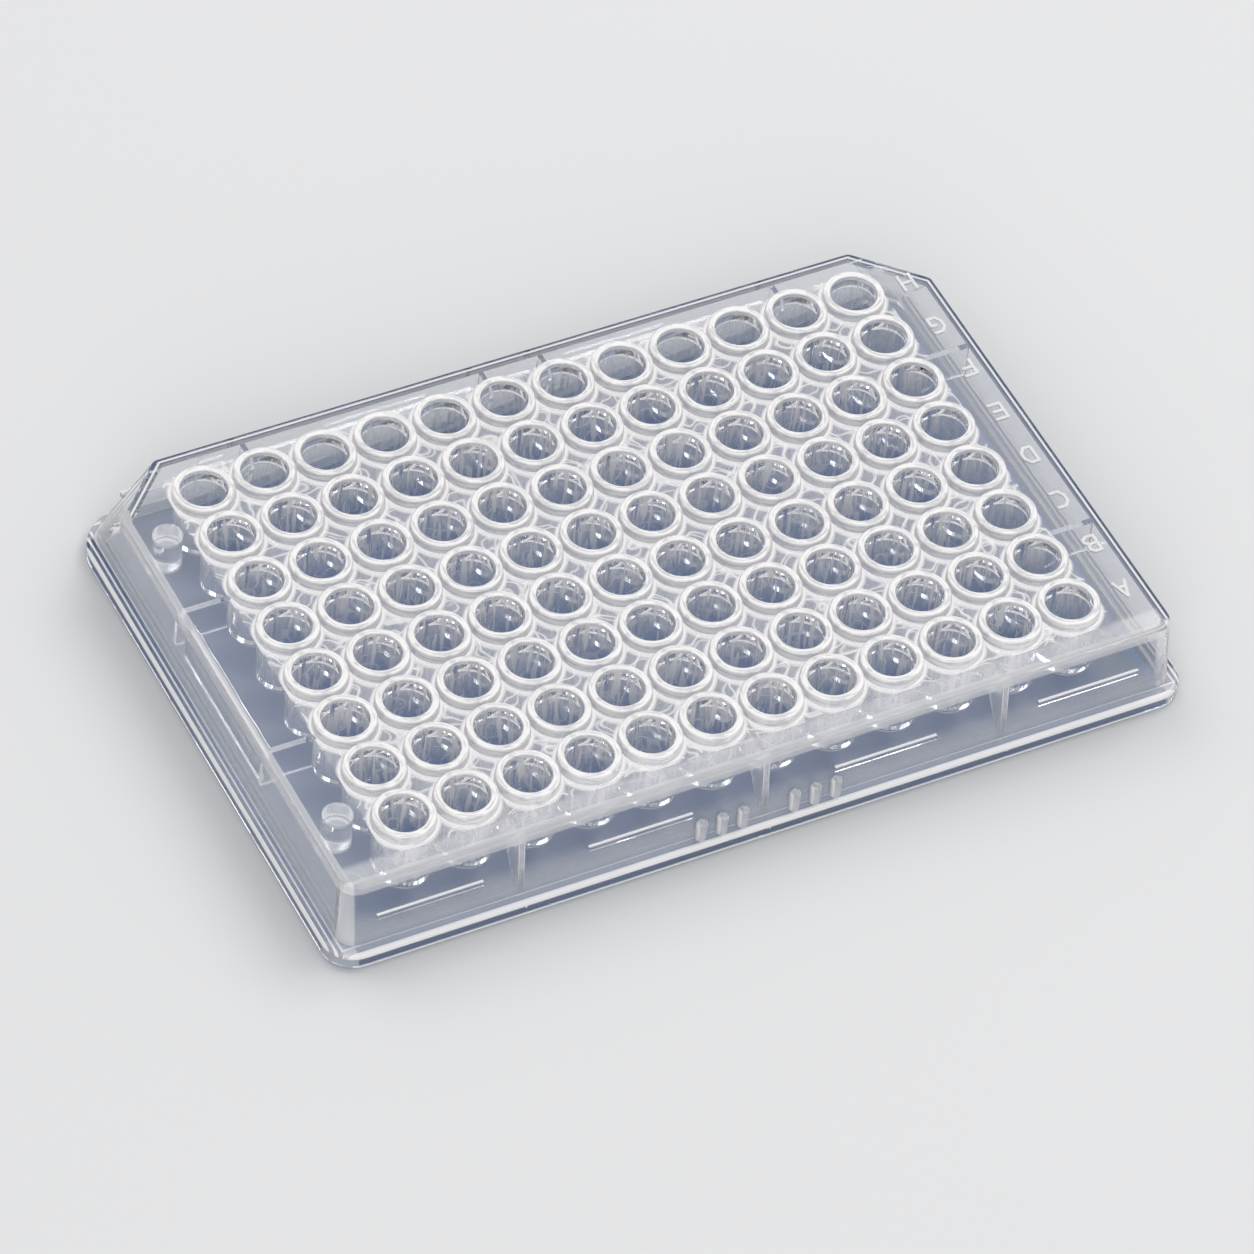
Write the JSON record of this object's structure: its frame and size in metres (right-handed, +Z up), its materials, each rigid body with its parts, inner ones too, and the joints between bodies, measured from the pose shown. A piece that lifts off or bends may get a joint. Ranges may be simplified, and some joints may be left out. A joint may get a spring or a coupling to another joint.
{
  "type": "well plate",
  "caption": "Clear one-piece plate of round flat-bottomed wells with raised rims, on a stepped flange, with two cut corners and raised row letters.",
  "frame": {"origin": "middle of the footprint, on the face the plate stands on", "axes": "+X along the columns from 1 to 12, +Y towards row A, +Z up out of the wells"},
  "size_m": [0.1278, 0.0854, 0.0143],
  "materials": {
    "clear_polystyrene": "clear, glossy"
  },
  "bodies": {
    "root": {"well_plate": "clear_polystyrene"}
  },
  "joints": []
}
